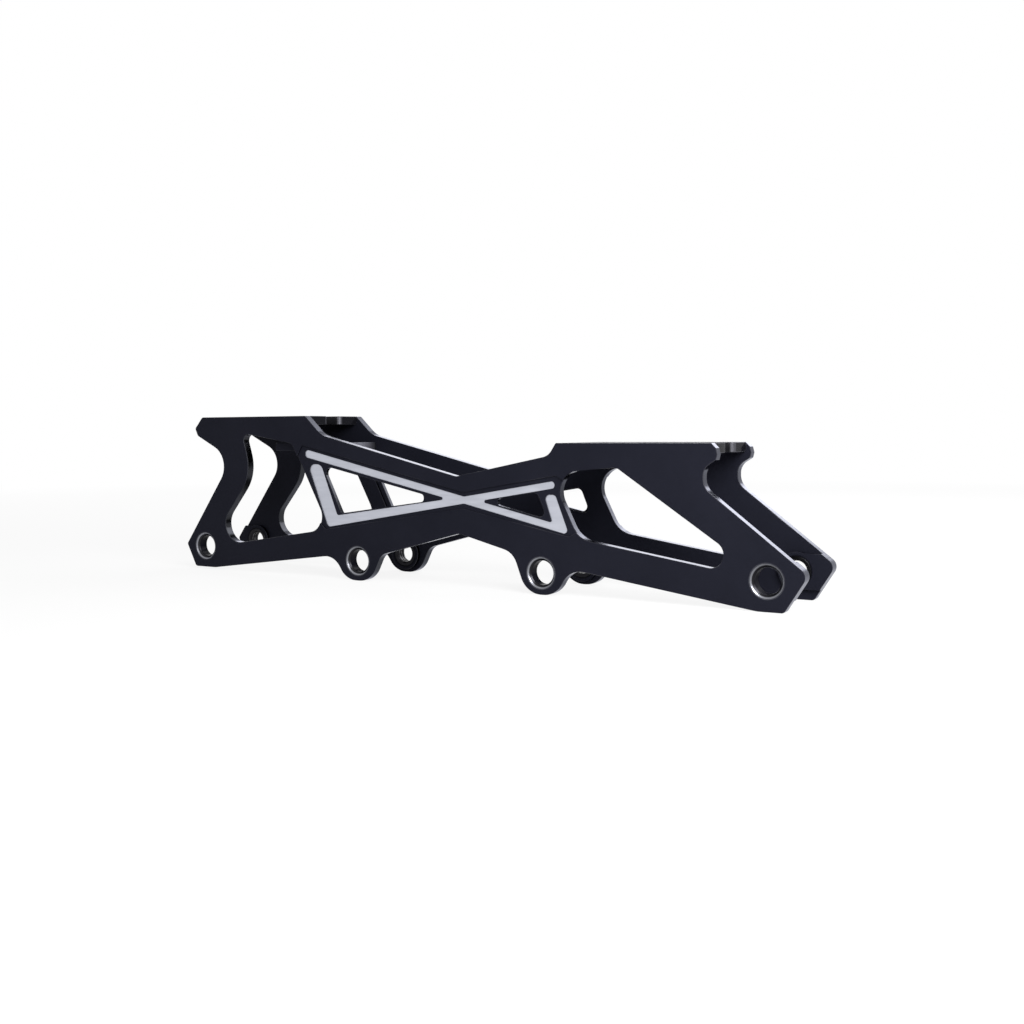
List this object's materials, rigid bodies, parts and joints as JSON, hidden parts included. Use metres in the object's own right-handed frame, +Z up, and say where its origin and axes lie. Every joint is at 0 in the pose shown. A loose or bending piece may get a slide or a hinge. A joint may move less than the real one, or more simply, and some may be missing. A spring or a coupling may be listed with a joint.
{
  "type": "inline skate frame",
  "caption": "Black anodised aluminium inline skate frame: milled side rails with a bare X in their web, stepped heel and toe decks with open bolt slots, and axle bores along the lower edge.",
  "frame": {"origin": "under the middle of the frame's length, midway between the rails, at the level of its lowest edge", "axes": "+X to the toe, +Y to the left, +Z up"},
  "size_m": [0.2526, 0.0336, 0.0604],
  "materials": {
    "black_anodised": "satin black anodised",
    "insert_steel": "turned and blackened steel"
  },
  "bodies": {
    "root": {"right_rail": "black_anodised", "left_rail": "black_anodised", "heel_deck": "black_anodised", "heel_bridge": "black_anodised", "toe_deck": "black_anodised", "rear_axle_insert": "insert_steel", "mid_rear_axle_insert": "insert_steel", "mid_front_axle_insert": "insert_steel", "front_axle_insert": "insert_steel"}
  },
  "joints": []
}
